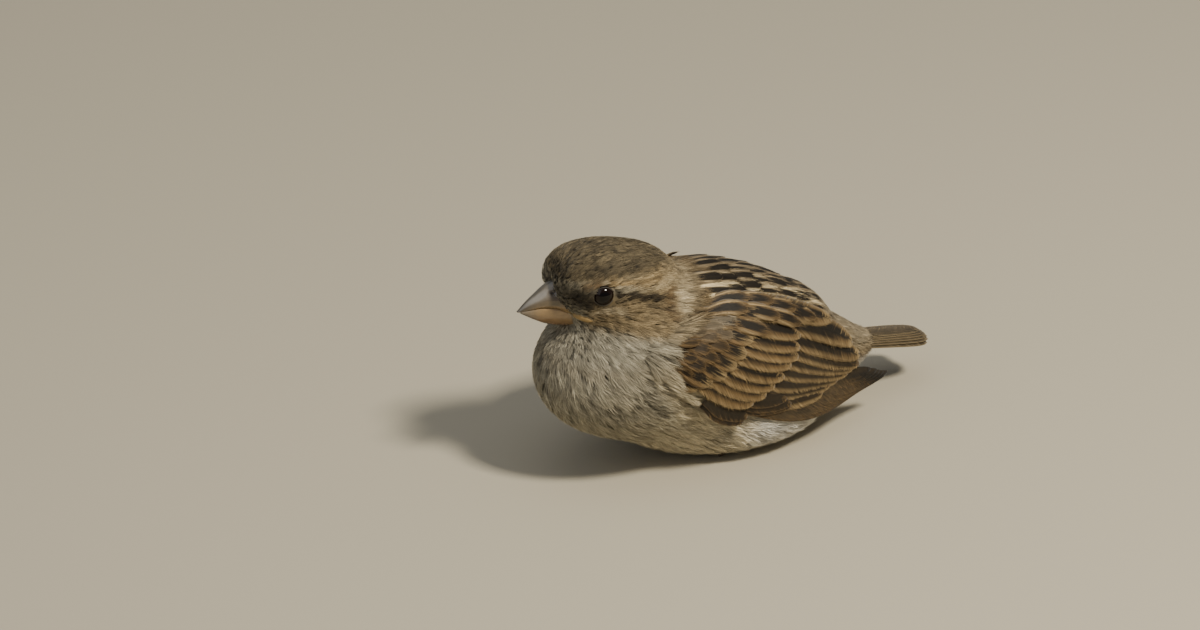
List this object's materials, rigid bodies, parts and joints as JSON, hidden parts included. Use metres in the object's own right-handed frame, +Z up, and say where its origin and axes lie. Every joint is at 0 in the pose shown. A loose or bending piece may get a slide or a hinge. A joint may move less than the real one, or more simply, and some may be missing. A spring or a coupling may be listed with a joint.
{
  "type": "house sparrow figure",
  "caption": "Life-size brown house sparrow squatting at rest with folded wings, short conical bill and feet tucked under its belly.",
  "frame": {"origin": "middle of the bird's length and width at the floor it rests on", "axes": "+Z up; the bird faces -Y, its tail points to +Y and its left wing is on +X"},
  "size_m": [0.0446, 0.102, 0.0526],
  "materials": {
    "plumage_crown": "soft grey-brown feathers",
    "plumage_neck": "soft pale grey-brown feathers",
    "plumage_breast": "soft buff-grey feathers",
    "bill_horn": "smooth grey horn",
    "bill_pale": "smooth pinkish-yellow horn",
    "eye": "wet gloss",
    "wing_brown": "flat overlapping feathers",
    "wing_buff": "flat overlapping feathers with buff edges",
    "wing_dark": "long dark quills",
    "tail": "long brown quills",
    "leg": "fine scaled skin",
    "claw": "dull dark horn"
  },
  "bodies": {
    "root": {"head": "plumage_crown", "neck": "plumage_neck", "trunk": "plumage_breast", "bill_upper": "bill_horn", "bill_lower": "bill_pale", "eye_left": "eye", "eye_right": "eye", "wing_left_coverts": "wing_brown", "wing_right_coverts": "wing_brown", "wing_left_secondaries": "wing_buff", "wing_right_secondaries": "wing_buff", "wing_left_primaries": "wing_dark", "wing_right_primaries": "wing_dark", "tail": "tail", "leg_left": "leg", "leg_right": "leg", "foot_left": "leg", "foot_right": "leg", "claw_left_inner": "claw", "claw_left_middle": "claw", "claw_left_outer": "claw", "claw_left_hind": "claw", "claw_right_inner": "claw", "claw_right_middle": "claw", "claw_right_outer": "claw", "claw_right_hind": "claw"}
  },
  "joints": []
}
